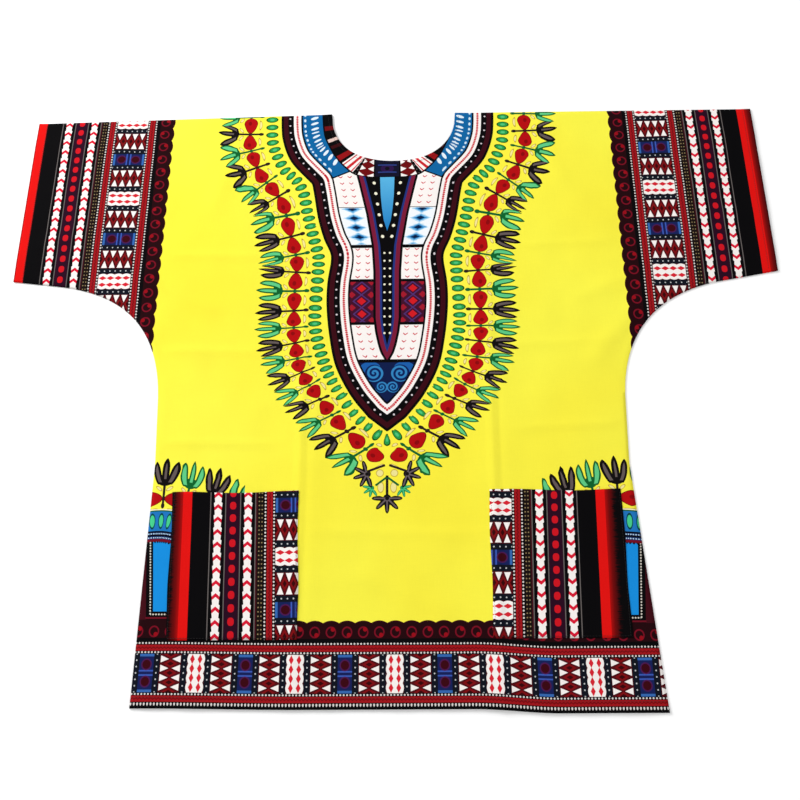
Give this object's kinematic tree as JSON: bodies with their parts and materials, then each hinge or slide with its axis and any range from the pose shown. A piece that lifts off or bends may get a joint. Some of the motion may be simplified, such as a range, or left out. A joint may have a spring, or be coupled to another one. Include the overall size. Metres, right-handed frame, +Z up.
{
  "type": "dashiki shirt",
  "caption": "Loose cotton dashiki shirt laid flat face up: wide sleeves cut in one with the body, round scoop neck, and patch pockets cut from the border print.",
  "frame": {"origin": "bottom centre of the bounding box, on the surface the shirt lies on", "axes": "+X from one sleeve end to the other (towards the right of the front as it is seen), +Y from the hem to the neck, +Z up out of the front"},
  "size_m": [1.036, 0.824, 0.0062],
  "materials": {
    "printed_cotton": "plain-weave cotton, bright yellow ground with printed borders and neck ornament",
    "border_cotton": "plain-weave cotton cut from the striped selvedge border"
  },
  "bodies": {
    "root": {"back": "printed_cotton", "front": "printed_cotton", "pocket_left": "border_cotton", "pocket_right": "border_cotton"}
  },
  "joints": []
}
